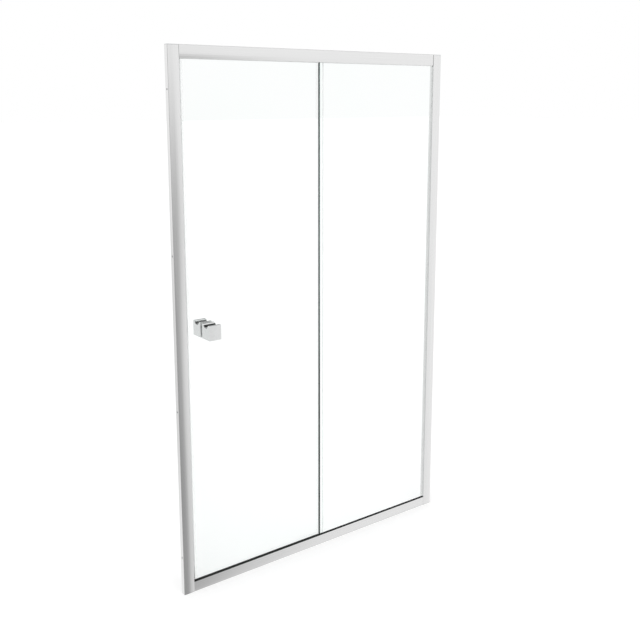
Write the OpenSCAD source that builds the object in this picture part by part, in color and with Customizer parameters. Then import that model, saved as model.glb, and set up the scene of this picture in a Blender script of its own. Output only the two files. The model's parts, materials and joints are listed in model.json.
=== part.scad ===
// Framed sliding shower door: one fixed pane, one pane sliding behind it on top rollers.
// X runs along the door, Y goes into the shower, Z is up. The origin is on the tray,
// in the middle of the door's width and in the middle plane of the sliding pane.

/* [Overall] */
// Width of the door between the two walls
door_w = 1200; // [1100:10:1600]
// Height of the door above the tray
door_h = 1900; // [1700:10:2100]

/* [Glass] */
// Thickness of both panes
glass_t = 6; // [5:1:8]
// Gap between the two panes
pane_gap = 4.2; // [4:0.1:6]
// Free edge of the fixed pane, from the middle of the door
fixed_edge_x = 2; // [-20:1:20]
// Overlap of the two panes when the door is closed
pane_overlap = 22; // [16:1:40]
// Depth that the fixed pane goes into its jamb
fixed_grip = 15; // [10:1:16]
// Height of both panes' lower edges above the tray
glass_foot = 16; // [15:1:20]
// Depth that the fixed pane goes up into the top rail
fixed_rise = 17; // [12:1:20]
// Gap between the closed sliding pane and the jamb
slide_gap = 10; // [9:1:14]

/* [Jambs] */
// Width of each jamb's face
jamb_w = 40; // [38:1:60]
// Wall of the jamb profile
jamb_wall = 1.8; // [1.4:0.1:2.2]
// Swell of the jamb's face over its width
jamb_crown = 0.8; // [0.4:0.1:1]
// Thickness of the web behind the wall sleeve
jamb_web = 2; // [1.5:0.1:3]
// Depth of the sleeve that takes the wall channel
sleeve_depth = 21; // [20:1:22]
// Gap left between the jamb and the wall
jamb_off_wall = 0.5; // [0.3:0.1:2]
// Thickness of the plugs that close the jambs' tops
end_cap_t = 1.5; // [1:0.1:3]
// Depth of the plug under each jamb's end cap
end_plug_depth = 5; // [3:0.5:6]
// Set-back of that plug from the ends of the wall channel's legs
end_plug_gap = 1; // [0.5:0.5:2]

/* [Wall channels] */
// Wall of the channel screwed to the wall
channel_wall = 1.6; // [1.2:0.1:2]
// Width of the channel's legs, out from the wall
channel_leg = 17; // [14:1:18]
// Play between channel and jamb
channel_gap = 0.2; // [0.1:0.05:0.4]
// Radius of the wall screw holes
wall_hole_r = 2.75; // [2:0.05:3.5]
// Number of wall screw holes in each channel
wall_hole_count = 4; // [2:1:5]
// Spacing of the wall screw holes
wall_hole_pitch = 540; // [300:10:540]

/* [Rails] */
// Height of the top rail's face
top_rail_h = 43; // [42:1:60]
// Height of the bottom rail's face
bottom_rail_h = 40; // [38:1:60]
// How far the bottom rail's front lip stops below its height, where the gaskets' bead covers it
sill_lip_drop = 3; // [1:0.5:4]
// Wall of both rails
rail_wall = 1.5; // [1.2:0.1:2]
// Thickness of the bottom rail's floor
rail_floor = 2; // [1.5:0.1:3]
// How far the rails sit back from the jambs' faces
rail_setback = 1; // [0.5:0.1:2]
// Height of the curved lower part of the top rail's face
fascia_curve_h = 19; // [10:1:25]
// How far the face curves back at its lower edge
fascia_curve_d = 1.2; // [0.5:0.1:1.2]
// Height of the lower part of the bottom rail's face that leans back
toe_h = 10; // [5:1:15]
// How far the bottom rail's face leans back at the tray
toe_d = 0.5; // [0.2:0.1:0.8]
// Height of the bottom rail's inner lip above the tray
rear_lip_h = 20; // [16:1:24]
// Side of the square screw ports in the rails
port_w = 7; // [6.5:0.1:8]
// Drop of the upper front screw port below the door's top
port_drop = 11; // [10:0.5:12]
// Gap between the sliding pane and the top rail's floor
rail_slot_gap = 2.5; // [2:0.1:4]
// Space above the sliding pane in the top rail
glass_head_gap = 2.5; // [1.5:0.1:4]

/* [Seals] */
// Thickness of the gasket on each side of the fixed pane
gasket_t = 1.3; // [1:0.1:2]
// Thickness of the gasket round the fixed pane's top
top_gasket_t = 0.3; // [0.2:0.1:0.6]
// How far the jamb gasket's lips stand out of the jamb's inner face
jamb_gasket_out = 0.5; // [0.5:0.5:1.5]
// Set-back of the top gasket from the top rail's lower edge
top_gasket_in = 3; // [2:0.5:6]
// Set-back of the infill strip from the top rail's lower edge
infill_in = 0.5; // [0.3:0.1:2]
// Gap between the door side's strips and the fixed pane's gaskets
strip_gap = 0.3; // [0.2:0.1:1]
// Depth that the sill gaskets reach down into the bottom rail
sill_gasket_depth = 15.6; // [10:0.1:18]
// Thickness of the plate and legs of the threshold gasket
threshold_t = 1.6; // [1.2:0.1:2]
// Depth of the threshold gasket's legs
threshold_leg = 8; // [5:1:12]
// Gap between the sliding pane and the threshold gasket
threshold_gap = 0.6; // [0.4:0.1:1]
// Space between the rails and the ends of the upright seals
seal_end_gap = 2; // [1:0.5:5]
// Wall of the seal clipped on the sliding pane
edge_seal_t = 0.9; // [0.7:0.1:1.1]
// Width of the glass that the edge seal grips
edge_seal_grip = 9; // [6:1:14]
// Gap left between the closed door's seal and the strike seal
strike_gap = 0.3; // [0.2:0.05:0.5]
// How far the strike seal stands out of the jamb
strike_out = 3; // [2:0.1:4]
// Width of the strike seal
strike_w = 8; // [6:0.5:9]
// Thickness of the strike seal's foot inside the jamb
strike_foot = 1.2; // [0.8:0.1:2]
// Width of the overlap seal's base on the fixed pane
overlap_seal_w = 4; // [3:0.5:12]
// Thickness of that base
overlap_seal_t = 1; // [0.8:0.1:1.5]
// Gap between the overlap seal's fin and the sliding pane
overlap_seal_gap = 0.4; // [0.3:0.05:0.8]
// Length of the blocks that the fixed pane stands on
setting_block_l = 60; // [30:5:100]
// Distance of those blocks from the pane's ends
setting_block_in = 80; // [50:5:120]

/* [Screws] */
// Radius of the corner and jamb screws' shanks
screw_r = 1.9; // [1.6:0.1:2]
// Radius of their heads
screw_head_r = 3.4; // [3:0.1:3.6]
// Height of their heads
screw_head_h = 2.4; // [2:0.1:2.8]
// Play of a screw in its hole
screw_play = 0.1; // [0.05:0.05:0.3]
// Depth that the corner screws bite into the rails
screw_bite = 16; // [10:1:25]
// Distance of the jamb screws from the wall
jamb_screw_in = 10; // [8:1:12]
// Distance of the end jamb screws from the door's ends
jamb_screw_end = 60; // [40:5:100]
// Number of screws that hold each jamb on its channel
jamb_screw_count = 3; // [2:1:4]
// Length of the jamb screws' shanks
jamb_screw_l = 8; // [6:1:10]
// Wall of the snap-on screw caps
screw_cap_t = 1; // [0.8:0.1:1.5]

/* [Knob] */
// Width of each knob block along the door
knob_w = 46; // [40:1:60]
// Height of each knob block
knob_h = 52; // [46:1:60]
// Depth of each knob block out from the door
knob_d = 50; // [44:1:60]
// Distance of the knob's middle from the sliding pane's closing edge
knob_in = 76; // [60:1:120]
// Height of the knob's middle above the tray
knob_z = 950; // [850:10:1100]
// Radius of the finger groove across each block's top
groove_r = 16; // [14:0.5:18]
// Depth of the finger groove
groove_depth = 12; // [8:0.5:14]
// Bevel on the knob's long edges
knob_bevel = 0.8; // [0.5:0.1:2]
// Radius of the neck between each block and its washer
knob_neck_r = 9; // [8:0.5:14]
// Length of that neck
knob_neck = 3; // [2:0.5:6]
// Thickness of the washers on the glass
knob_washer_t = 1; // [0.5:0.1:2]
// Radius of the knob's through screw
knob_screw_r = 3; // [2.5:0.1:4]
// Depth of the through screw in each block
knob_screw_in = 18; // [12:1:22]
// Radius of the knob's hole in the glass
knob_hole_r = 6; // [5.5:0.1:7]
// Play of the through screw in blocks and bush
knob_play = 0.02; // [0.02:0.01:0.1]
// Radius of the grub screws that lock the blocks
grub_r = 2; // [1.5:0.1:2.5]
// Length of the grub screws
grub_l = 6; // [4:1:10]
// Play of the grub screws in their bores
grub_play = 0.05; // [0.02:0.01:0.1]
// Space between the open knob and the fixed pane's edge
knob_stop_gap = 13; // [10:1:30]

/* [Top rollers] */
// Distance of each roller from the sliding pane's side edge
roller_in = 60; // [40:5:120]
// Radius that each roller runs on
roller_r = 11; // [10.5:0.1:11.5]
// Height of the rollers' flanges over the running groove
roller_flange = 2; // [1.5:0.1:2.2]
// Width of the rollers
roller_w = 6; // [5:0.1:7]
// Width of the rollers' running groove
roller_groove = 3; // [2.6:0.1:3.4]
// Height of the track's top above the top rail's lower edge
track_h = 5; // [4.5:0.1:5.5]
// Side play of the track in the rollers' groove
track_play = 0.4; // [0.3:0.05:0.6]
// Gap under each roller, so that it doesn't bite the track
roller_gap = 0.3; // [0.2:0.05:0.4]
// Radius of the hanger studs
stud_r = 4; // [3.5:0.1:4.2]
// Radius of the studs' front flanges
stud_flange_r = 8.5; // [8:0.1:10]
// Thickness of the studs' front flanges
stud_flange_t = 1.2; // [1:0.1:1.4]
// Thickness of the washers under flange and collar
stud_washer_t = 0.5; // [0.4:0.1:0.6]
// Radius of the hanger holes in the glass
stud_hole_r = 5.5; // [5.2:0.1:6]
// Play of bush in hole and of stud in bush
bush_play = 0.1; // [0.05:0.05:0.15]
// Corner radius of the six-sided clamp collars
collar_r = 9; // [8:0.1:9.5]
// Thickness of the clamp collars
collar_t = 3.5; // [3:0.1:5]
// Length of each collar's round boss
collar_boss = 1; // [0.5:0.1:2]
// Thickness of the bearings' inner rings
inner_ring_t = 1.25; // [1:0.05:1.3]
// Radius of the bearing balls
ball_r = 1.15; // [0.9:0.05:1.2]
// Number of balls in each bearing
ball_count = 10; // [6:1:12]
// Running play in the bearings
bearing_play = 0.05; // [0.02:0.01:0.1]
// Radius of the bearings' outer rings
bearing_r = 9; // [8.8:0.1:9.2]
// Head height of the screws that keep the rollers on
keeper_h = 2.8; // [2:0.1:3.5]
// Head radius of those screws
keeper_r = 5; // [4.5:0.1:5.2]
// Space left beyond those screws' tips in the studs
keeper_tip_gap = 1; // [0.5:0.1:2]
// Space behind the rollers
roller_rear = 4.5; // [3:0.5:10]
// Length of the rubber door stops
stop_l = 14; // [10:1:20]
// How far the stops are wider than the rollers on each side
stop_side = 0.5; // [0.2:0.1:1.5]
// Height of the stops above the rollers' axles
stop_rise = 4; // [2:0.5:8]

/* [Bottom guides] */
// Distance of each guide from the sliding pane's side edge
guide_in = 70; // [50:5:120]
// Set-back of the channel under the sliding pane from the pane's side edges
edge_channel_in = 2; // [1:0.5:5]
// Wall of that channel's front leg
edge_channel_t = 0.9; // [0.7:0.1:1.1]
// Thickness of that channel's base
edge_base_t = 1.4; // [1:0.1:2]
// Thickness of that channel's screw leg
edge_leg_t = 3.2; // [2.5:0.1:5]
// Height of that channel's legs on the glass
edge_leg_h = 12; // [10:1:14]
// Half width of the guide housings
housing_half_w = 16; // [15:1:20]
// Thickness of the housings' back plates
housing_plate = 2; // [1.5:0.1:3]
// Depth of the housings in front of the plates
housing_d = 4; // [3.8:0.1:5]
// Height of the housings' lower ends above the tray
housing_z = 7; // [6:0.5:8]
// Thickness of the bridge above each spring
bridge_t = 2.5; // [2:0.1:4]
// Height of the guide sliders
slider_h = 11; // [10:0.5:12]
// Height of the resting sliders above the housings' lower ends
slider_rest = 1; // [0.5:0.1:1.5]
// Half width of the sliders' backs, held in the T-shaped slots
slider_back_half_w = 9.5; // [8:0.1:10]
// Half width of the sliders' necks
slider_neck_half_w = 6.8; // [6:0.1:7.5]
// How far the sliders' necks stand out of the housings
slider_proud = 0.3; // [0.1:0.1:0.4]
// Play of the sliders in the housings
slider_play = 0.15; // [0.1:0.05:0.3]
// Height that the sprung sliders can lift
guide_lift = 3.5; // [2:0.5:4]
// Radius that each guide wheel runs on
guide_r = 6; // [5:0.1:6.4]
// Height of the guide wheels' flanges
guide_flange = 1.6; // [1:0.1:1.8]
// Width of the guide wheels
guide_w = 5.2; // [4.5:0.1:6]
// Gap between the guide wheels and their housings
guide_gap = 0.7; // [0.6:0.1:1.2]
// Width of the guide rib on the bottom rail
rib_w = 2; // [1.5:0.1:2.4]
// Height of the guide rib's top above the tray
rib_h = 9; // [8:0.5:10]
// Radius of the guide axles
guide_axle_r = 2; // [1.5:0.1:2.4]
// Distance of the axles' inner ends from the housings' back plates
guide_axle_in = 0.5; // [0.4:0.1:1]
// Radius of the axles' heads
axle_head_r = 3.2; // [2.8:0.1:4]
// Thickness of the axles' heads
axle_head_t = 1.2; // [0.8:0.1:1.5]
// Side play of the guide wheels under the axles' heads
axle_head_gap = 0.2; // [0.1:0.1:0.4]
// Running play of the guide wheels
guide_play = 0.06; // [0.02:0.01:0.1]
// Radius of the guide screws' shanks
guide_screw_r = 1.4; // [1:0.1:1.6]
// Radius of their heads
guide_screw_head_r = 2.4; // [2:0.1:2.8]
// Height of their heads
guide_screw_head_h = 1.4; // [1:0.1:1.8]
// Distance of the guide screws from the housings' side edges
guide_screw_in = 3.5; // [3:0.1:3.8]
// Gap between their tips and the glass
guide_screw_tip_gap = 0.4; // [0.2:0.1:1]
// Length of the resting springs
spring_l = 6.5; // [6:0.5:9]
// Radius of the spring coils
spring_r = 1.4; // [1:0.1:1.5]
// Radius of the spring wire
spring_wire_r = 0.25; // [0.15:0.05:0.3]
// Number of turns in each spring
spring_turns = 4; // [3:1:5]

/* [Hidden] */
$fn = 64;

aluminium = [0.82, 0.83, 0.84];
chrome = [0.86, 0.87, 0.88];
steel = [0.6, 0.61, 0.63];
rubber = [0.12, 0.12, 0.13];
grey_rubber = [0.45, 0.47, 0.47];
clear_vinyl = [0.88, 0.92, 0.92];
nylon = [0.9, 0.9, 0.88];
glass = [0.8, 0.93, 0.9, 0.35];

// Overlap of joined shapes, and how far a cut runs past the face or tip that it clears
cut = 1;
// Sides of the circles behind the two large, shallow curves
shallow_fn = 720;

// Glass stack, from the sliding pane out to the jambs' faces
y_slide_front = -glass_t / 2;
y_slide_rear = glass_t / 2;
y_fix_rear = y_slide_front - pane_gap;
y_fix_front = y_fix_rear - glass_t;
y_fix_mid = (y_fix_rear + y_fix_front) / 2;
y_rail = y_fix_front - gasket_t - rail_wall;
y_front = y_rail - rail_setback;
y_web = y_fix_rear + gasket_t;
y_top_web = y_fix_rear + top_gasket_t;

// Inner faces of the jambs, which are the ends of the rails
x_wall = door_w / 2;
x_in = x_wall - jamb_w;

// Jamb profile, measured from the wall (u) and along Y
u_web = sleeve_depth + jamb_web;
u_inner = jamb_w - jamb_wall;
y_screw_a = y_web + jamb_wall + screw_head_r + screw_play;
y_jamb_in = y_screw_a + screw_head_r + 4 * screw_play;
y_jamb_rear = y_jamb_in + jamb_wall;
y_jamb_face = y_front + jamb_wall;
crown_w = jamb_w - jamb_off_wall;
crown_r = (pow(crown_w / 2, 2) + pow(jamb_crown, 2)) / (2 * jamb_crown);
jamb_top = door_h - end_cap_t;
y_strike = y_jamb_in - 3 * channel_gap - strike_w;
screw_hole_r = screw_r + screw_play;

// Heights in the rails
z_top = door_h - top_rail_h;
z_port_low = rail_floor + port_w / 2;
z_port_a = door_h - rail_wall - port_w / 2;
z_port_b = door_h - port_drop;
z_slide_top = z_port_a - port_w / 2 - glass_head_gap;
z_fix_top = z_top + fixed_rise;
z_web_top = bottom_rail_h - rail_floor;
z_sill = z_web_top + threshold_t;
z_sill_lip = bottom_rail_h - sill_lip_drop;
z_seal_low = bottom_rail_h + seal_end_gap;
z_seal_high = z_top - seal_end_gap;
fascia_r = (pow(fascia_curve_h, 2) + pow(fascia_curve_d, 2)) / (2 * fascia_curve_d);

// Sliding pane
x_slide = -x_in + slide_gap;
x_slide_end = fixed_edge_x + pane_overlap;
knob_x = x_slide + knob_in;
travel = fixed_edge_x - knob_stop_gap - knob_x - knob_w / 2;

// Hanger and roller stack, from the glass back into the rail
x_rollers = [x_slide + roller_in, x_slide_end - roller_in];
z_axle = z_top + track_h + roller_gap + roller_r;
roller_rim_r = roller_r + roller_flange;
y_collar = y_slide_rear + stud_washer_t;
y_wheel = y_collar + collar_t + collar_boss;
y_wheel_end = y_wheel + roller_w;
y_wheel_mid = (y_wheel + y_wheel_end) / 2;
y_keeper = y_wheel_end + 4 * bearing_play;
y_rear = y_keeper + keeper_h + roller_rear + rail_wall;
inner_ring_r = stud_r + bearing_play + inner_ring_t;
ball_pitch_r = inner_ring_r + bearing_play + ball_r;
outer_ring_in = ball_pitch_r + ball_r + bearing_play;
track_w = roller_groove - 2 * track_play;
keeper_shank_r = stud_r / 2;

// Bottom guide stack
x_guides = [x_slide + guide_in, x_slide_end - guide_in];
y_plate = y_slide_rear + edge_leg_t;
y_slot = y_plate + housing_plate;
y_housing = y_slot + housing_d;
z_edge = glass_foot - edge_base_t;
z_edge_top = glass_foot + edge_leg_h;
z_wheel = rib_h + roller_gap + guide_r;
y_guide = y_housing + guide_gap;
y_guide_end = y_guide + guide_w;
y_guide_mid = (y_guide + y_guide_end) / 2;
z_guide_screw = (z_edge_top + glass_foot) / 2;
z_slider = housing_z + slider_rest;
z_slider_top = z_slider + slider_h;
z_bridge = z_slider_top + spring_l;
slot_depth = housing_d / 2;

// A section drawn in Y and Z, run along X
module along_x(x0, x1) {
    translate([x0, 0, 0])
        rotate([90, 0, 90])
            linear_extrude(x1 - x0)
                children();
}

// A section drawn in X and Z, run along Y
module along_y(y0, y1) {
    translate([0, y1, 0])
        rotate([90, 0, 0])
            linear_extrude(y1 - y0)
                children();
}

module rod_x(y, z, r, x0, x1) {
    translate([x0, y, z])
        rotate([0, 90, 0])
            cylinder(r = r, h = x1 - x0);
}

module rod_y(x, z, r, y0, y1) {
    translate([x, y1, z])
        rotate([90, 0, 0])
            cylinder(r = r, h = y1 - y0);
}

module ring_y(x, z, r_in, r_out, y0, y1) {
    difference() {
        rod_y(x, z, r_out, y0, y1);
        rod_y(x, z, r_in, y0 - cut, y1 + cut);
    }
}

// A flat rectangle given by its two corners
module box2(a0, b0, a1, b1) {
    translate([a0, b0])
        square([a1 - a0, b1 - b0]);
}

// A block given by its two corners
module box3(p0, p1) {
    translate(p0)
        cube(p1 - p0);
}

// Left parts are drawn from the wall towards the door, and right ones are their mirror
module on_side(side) {
    if (side < 0)
        translate([-x_wall, 0, 0]) children();
    else
        translate([x_wall, 0, 0]) mirror([1, 0, 0]) children();
}

// Jamb outline with its gently swelled face
module jamb_outline() {
    intersection() {
        box2(jamb_off_wall, y_front, jamb_w, y_jamb_rear);
        translate([jamb_off_wall + crown_w / 2, y_front + crown_r])
            circle(r = crown_r, $fn = shallow_fn);
    }
}

// The corner screws' two lines in Y and Z, at foot and head
function screw_lines() = [[y_screw_a, z_port_low], [y_fix_mid, z_port_low],
    [y_screw_a, z_port_a], [y_fix_mid, z_port_b]];

function jamb_screw_z(i) = jamb_screw_end
    + i * (door_h - 2 * jamb_screw_end) / (jamb_screw_count - 1);

module jamb_holes() {
    for (line = screw_lines())
        rod_x(line[0], line[1], screw_hole_r, sleeve_depth - cut, jamb_w + cut);
    for (i = [0 : jamb_screw_count - 1])
        rod_y(jamb_screw_in, jamb_screw_z(i), screw_hole_r, y_jamb_in - cut, y_jamb_rear + cut);
}

module jamb_sleeve() {
    box2(-cut, y_jamb_face, sleeve_depth, y_jamb_in);
}

module jamb_left() {
    color(aluminium)
    on_side(-1)
    difference() {
        linear_extrude(jamb_top)
            difference() {
                jamb_outline();
                jamb_sleeve();
                box2(u_web, y_jamb_face, u_inner, y_jamb_in);
                box2(u_inner - cut, y_strike, jamb_w + cut, y_strike + strike_w);
            }
        jamb_holes();
    }
}

module jamb_right() {
    color(aluminium)
    on_side(1)
    difference() {
        linear_extrude(jamb_top)
            difference() {
                jamb_outline();
                jamb_sleeve();
                box2(u_web, y_web + jamb_wall, u_inner, y_jamb_in);
                box2(u_web, y_fix_front - gasket_t, jamb_w + cut, y_web);
            }
        jamb_holes();
    }
}

module jamb_cap(side) {
    color(aluminium)
    on_side(side) {
        translate([0, 0, jamb_top])
            linear_extrude(end_cap_t)
                jamb_outline();
        translate([0, 0, jamb_top - end_plug_depth])
            linear_extrude(end_plug_depth)
                box2(2 * channel_wall, y_jamb_face + 2 * channel_wall,
                    channel_leg - end_plug_gap, y_jamb_in - 2 * channel_wall);
    }
}

module jamb_cap_left() { jamb_cap(-1); }
module jamb_cap_right() { jamb_cap(1); }

// U-shaped channel fixed to the wall, inside the jamb's sleeve
module wall_channel(side) {
    y0 = y_jamb_face + channel_gap;
    y1 = y_jamb_in - channel_gap;
    z_mid = door_h / 2;
    color(aluminium)
    on_side(side)
    difference() {
        linear_extrude(jamb_top)
            difference() {
                box2(0, y0, channel_leg, y1);
                box2(channel_wall, y0 + channel_wall, channel_leg + cut, y1 - channel_wall);
            }
        for (i = [0 : wall_hole_count - 1])
            rod_x((y0 + y1) / 2, z_mid + (i - (wall_hole_count - 1) / 2) * wall_hole_pitch,
                wall_hole_r, -cut, channel_wall + cut);
        for (i = [0 : jamb_screw_count - 1])
            rod_y(jamb_screw_in, jamb_screw_z(i), screw_hole_r, y1 - channel_wall - cut, y1 + cut);
    }
}

module wall_channel_left() { wall_channel(-1); }
module wall_channel_right() { wall_channel(1); }

module jamb_screws(side) {
    color(steel)
    on_side(side)
    for (i = [0 : jamb_screw_count - 1]) {
        rod_y(jamb_screw_in, jamb_screw_z(i), screw_r, y_jamb_rear - jamb_screw_l, y_jamb_rear);
        rod_y(jamb_screw_in, jamb_screw_z(i), screw_head_r, y_jamb_rear, y_jamb_rear + screw_head_h);
    }
}

module jamb_screws_left() { jamb_screws(-1); }
module jamb_screws_right() { jamb_screws(1); }

// Snap-on cap over each jamb screw
module screw_caps(side) {
    cap_in = screw_head_r + 2 * screw_play;
    y_in = y_jamb_rear + screw_head_h + screw_play;
    color(nylon)
    on_side(side)
    for (i = [0 : jamb_screw_count - 1])
        difference() {
            rod_y(jamb_screw_in, jamb_screw_z(i), cap_in + screw_cap_t, y_jamb_rear, y_in + screw_cap_t);
            rod_y(jamb_screw_in, jamb_screw_z(i), cap_in, y_jamb_rear - cut, y_in);
        }
}

module screw_caps_left() { screw_caps(-1); }
module screw_caps_right() { screw_caps(1); }

module corner_screws() {
    color(steel)
    for (side = [-1, 1])
        on_side(side)
        for (line = screw_lines()) {
            rod_x(line[0], line[1], screw_head_r, sleeve_depth - screw_head_h, sleeve_depth);
            rod_x(line[0], line[1], screw_r, sleeve_depth, jamb_w + screw_bite);
        }
}

// Screw port: a square bar with a round bore along the whole rail
module port_bores(z_a, z_b) {
    rod_x(y_screw_a, z_a, screw_hole_r, -x_in - cut, x_in + cut);
    rod_x(y_fix_mid, z_b, screw_hole_r, -x_in - cut, x_in + cut);
}

module fascia() {
    intersection() {
        box2(y_rail, z_top, y_fix_front - top_gasket_t, door_h);
        union() {
            translate([y_rail + fascia_r, z_top + fascia_curve_h])
                circle(r = fascia_r, $fn = shallow_fn);
            box2(y_rail, z_top + fascia_curve_h, y_fix_front, door_h);
        }
    }
}

module top_rail() {
    color(aluminium)
    difference() {
        along_x(-x_in, x_in) {
            fascia();
            box2(y_rail, door_h - rail_wall, y_rear, door_h);
            box2(y_top_web, z_top, y_top_web + rail_wall, door_h);
            box2(y_rear - rail_wall, z_top, y_rear, door_h);
            box2(y_slide_rear + rail_slot_gap, z_top, y_rear, z_top + rail_wall);
            box2(y_wheel_mid - track_w / 2, z_top, y_wheel_mid + track_w / 2, z_top + track_h);
            box2(y_screw_a - port_w / 2, z_port_a - port_w / 2, y_screw_a + port_w / 2, door_h);
            box2(y_rail + rail_wall, z_port_b - port_w / 2, y_top_web + rail_wall / 2,
                z_port_b + port_w / 2);
        }
        port_bores(z_port_a, z_port_b);
    }
}

module bottom_rail() {
    color(aluminium)
    difference() {
        along_x(-x_in, x_in) {
            polygon([[y_rail + toe_d, 0], [y_rail + rail_wall + toe_d, 0], [y_rail + rail_wall, toe_h],
                [y_rail + rail_wall, z_sill_lip], [y_rail, z_sill_lip], [y_rail, toe_h]]);
            box2(y_rail + rail_wall, 0, y_rear, rail_floor);
            box2(y_web, 0, y_web + rail_wall, z_web_top);
            box2(y_rear - rail_wall, 0, y_rear, rear_lip_h);
            box2(y_guide_mid - rib_w / 2, 0, y_guide_mid + rib_w / 2, rib_h);
            box2(y_screw_a - port_w / 2, 0, y_screw_a + port_w / 2, rail_floor + port_w);
            box2(y_rail + rail_wall, 0, y_web + rail_wall / 2, rail_floor + port_w);
        }
        port_bores(z_port_low, z_port_low);
    }
}

module fixed_glass() {
    color(glass)
    box3([fixed_edge_x, y_fix_front, glass_foot], [x_in + fixed_grip, y_fix_rear, z_fix_top]);
}

// Gasket round the fixed pane's edge in the jamb's pocket
module jamb_gasket() {
    color(clear_vinyl)
    translate([0, 0, z_seal_low])
        linear_extrude(z_seal_high - z_seal_low)
            difference() {
                box2(x_in - jamb_gasket_out, y_fix_front - gasket_t, x_wall - u_web, y_web);
                box2(x_in - jamb_gasket_out - cut, y_fix_front, x_in + fixed_grip, y_fix_rear);
            }
}

module top_gasket() {
    color(rubber)
    along_x(fixed_edge_x, x_in)
        difference() {
            box2(y_fix_front - top_gasket_t, z_top + top_gasket_in, y_top_web, z_fix_top + gasket_t);
            box2(y_fix_front, z_top, y_fix_rear, z_fix_top);
        }
}

// Glazing gasket in front of and behind the fixed pane's foot
module sill_gasket() {
    color(rubber)
    along_x(fixed_edge_x, x_in) {
        box2(y_rail, z_sill_lip, y_fix_front - gasket_t, z_sill);
        box2(y_fix_front - gasket_t, z_sill - sill_gasket_depth, y_fix_front, z_sill);
        box2(y_fix_rear, z_sill - sill_gasket_depth, y_web, z_sill);
        box2(y_fix_rear, z_web_top, y_slide_front - threshold_gap, z_sill);
    }
}

module setting_blocks() {
    color(rubber)
    for (x = [fixed_edge_x + setting_block_in, x_in - setting_block_in - setting_block_l])
        box3([x, y_fix_front, rail_floor + port_w], [x + setting_block_l, y_fix_rear, glass_foot]);
}

// Black strip that covers the bottom rail's pocket on the door side
module threshold_gasket() {
    color(rubber)
    along_x(-x_in, fixed_edge_x - strip_gap) {
        box2(y_rail + rail_wall, z_web_top, y_slide_front - threshold_gap, z_sill);
        box2(y_rail, z_sill_lip, y_rail + rail_wall, z_sill);
        box2(y_rail + rail_wall, z_sill - threshold_leg, y_rail + rail_wall + threshold_t, z_sill);
        box2(y_web - threshold_t, z_sill - threshold_leg, y_web, z_sill);
    }
}

// Strip that closes the top rail's pocket on the door side
module top_infill() {
    y0 = y_fix_front - top_gasket_t;
    z0 = z_top + infill_in;
    color(aluminium)
    along_x(-x_in, fixed_edge_x - strip_gap) {
        box2(y0, z0, y_top_web, z0 + rail_wall);
        box2(y0, z0, y0 + rail_wall, z_fix_top);
        box2(y_top_web - rail_wall, z0, y_top_web, z_fix_top);
    }
}

// Seal on the back of the fixed pane's free edge, its fin reaching towards the sliding pane
module overlap_seal() {
    color(grey_rubber)
    translate([0, 0, z_seal_low])
        linear_extrude(z_seal_high - z_seal_low) {
            box2(fixed_edge_x, y_fix_rear, fixed_edge_x + overlap_seal_w, y_fix_rear + overlap_seal_t);
            box2(fixed_edge_x, y_fix_rear, fixed_edge_x + gasket_t, y_slide_front - overlap_seal_gap);
        }
}

// Strip that the closing door meets, with its foot inside the jamb
module strike_seal() {
    x_foot = -x_in - jamb_wall - channel_gap;
    color(clear_vinyl)
    translate([0, 0, z_seal_low])
        linear_extrude(z_seal_high - z_seal_low) {
            box2(x_foot - strike_foot, y_strike + channel_gap, -x_in + strike_out,
                y_strike + strike_w - channel_gap);
            box2(x_foot - strike_foot, y_strike - strike_foot, x_foot, y_jamb_in - channel_gap);
        }
}

// Rubber buffer clipped over the track
module door_stop(x0, x1) {
    half_w = roller_w / 2 + stop_side;
    color(rubber)
    difference() {
        box3([x0, y_wheel_mid - half_w, z_top + rail_wall],
            [x1, y_wheel_mid + half_w, z_axle + stop_rise]);
        box3([x0 - cut, y_wheel_mid - track_w / 2 - screw_play, z_top],
            [x1 + cut, y_wheel_mid + track_w / 2 + screw_play, z_top + track_h + screw_play]);
    }
}

module door_stop_open() {
    x = x_rollers[1] + travel + roller_rim_r + roller_gap;
    door_stop(x, x + stop_l);
}

module door_stop_closed() {
    x = x_rollers[0] - roller_rim_r - roller_gap;
    door_stop(x - stop_l, x);
}

module sliding_glass() {
    color(glass)
    difference() {
        box3([x_slide, y_slide_front, glass_foot], [x_slide_end, y_slide_rear, z_slide_top]);
        for (x = x_rollers)
            rod_y(x, z_axle, stud_hole_r, y_slide_front - cut, y_slide_rear + cut);
        rod_y(knob_x, knob_z, knob_hole_r, y_slide_front - cut, y_slide_rear + cut);
    }
}

// Clip-on seal along the sliding pane's closing edge
module leading_edge_seal() {
    x_nose = -x_in + strike_out + strike_gap;
    color(clear_vinyl)
    translate([0, 0, z_seal_low])
        linear_extrude(z_seal_high - z_seal_low)
            difference() {
                union() {
                    box2(x_slide - edge_seal_t, y_slide_front - edge_seal_t,
                        x_slide + edge_seal_grip, y_slide_rear + edge_seal_t);
                    box2(x_nose, -strike_w / 2 + channel_gap, x_slide, strike_w / 2 - channel_gap);
                }
                box2(x_slide, y_slide_front, x_slide + edge_seal_grip + cut, y_slide_rear);
                box2(x_nose + edge_seal_t, y_slide_front, x_slide - 2 * edge_seal_t, y_slide_rear);
            }
}

// Channel under the sliding pane, with a thick leg for the guides' screws
module bottom_edge_channel() {
    color(aluminium)
    difference() {
        along_x(x_slide + edge_channel_in, x_slide_end - edge_channel_in)
            difference() {
                box2(y_slide_front - edge_channel_t, z_edge, y_plate, z_edge_top);
                box2(y_slide_front, glass_foot, y_slide_rear, z_edge_top + cut);
            }
        for (x = x_guides)
            guide_screw_holes(x, y_slide_rear - cut, y_plate + cut);
    }
}

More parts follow.
